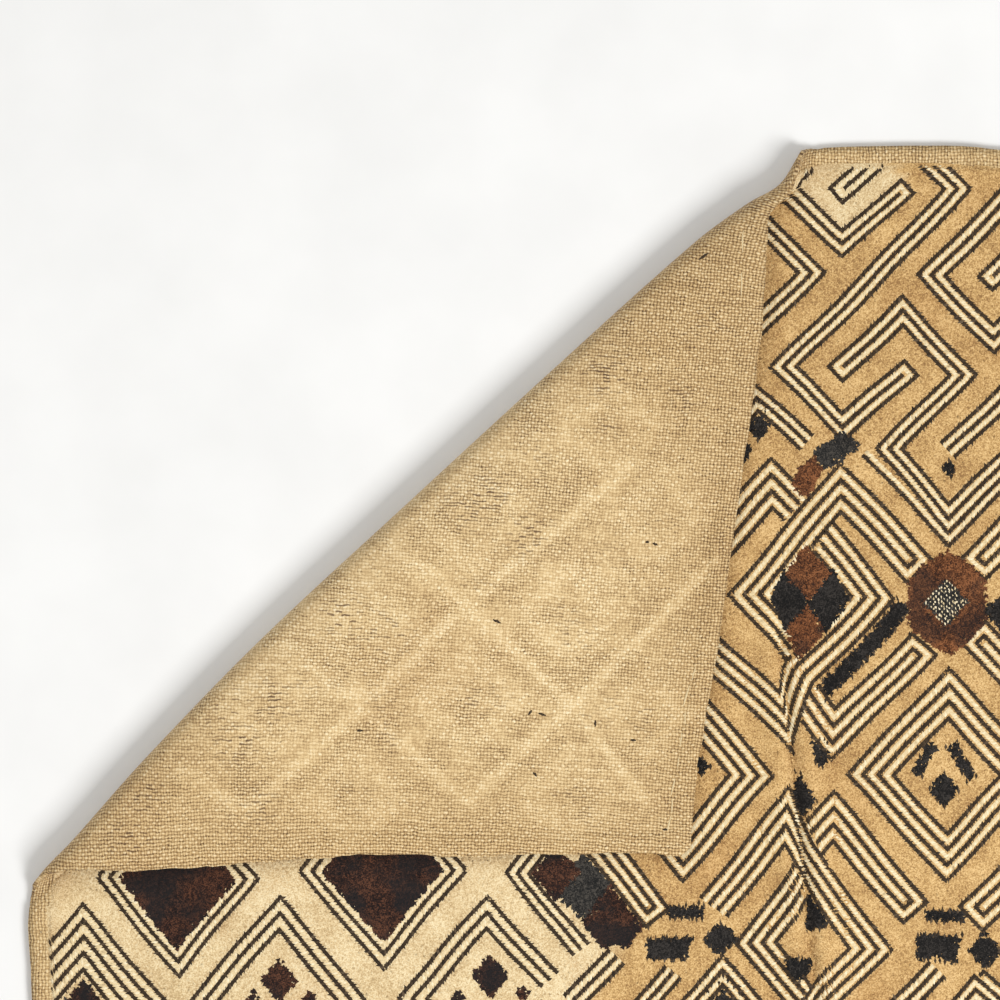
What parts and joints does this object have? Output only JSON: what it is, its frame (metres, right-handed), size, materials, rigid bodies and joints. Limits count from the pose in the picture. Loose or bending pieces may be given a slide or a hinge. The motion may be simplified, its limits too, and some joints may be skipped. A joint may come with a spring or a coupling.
{
  "type": "cut-pile raffia cloth",
  "caption": "Near-square cut-pile raffia cloth with a geometric pattern, lying flat with a corner folded over its face to show the plain woven back.",
  "frame": {"origin": "middle of the footprint, on the surface that the cloth lies on", "axes": "+Z up from the surface through the piled face, +X along the longer side and to the right in the picture, +Y up in the picture"},
  "size_m": [0.5696, 0.55, 0.0096],
  "materials": {
    "raffia_ground": "plain-woven raffia, natural golden tan",
    "raffia_tan": "short cut pile, tan",
    "raffia_cream": "stem-stitched raffia strands, cream",
    "raffia_black": "dyed raffia strands and pile, blue-black",
    "raffia_brown": "dyed cut pile, dark reddish brown"
  },
  "bodies": {
    "root": {"raffia_panel": "raffia_ground"}
  },
  "joints": []
}
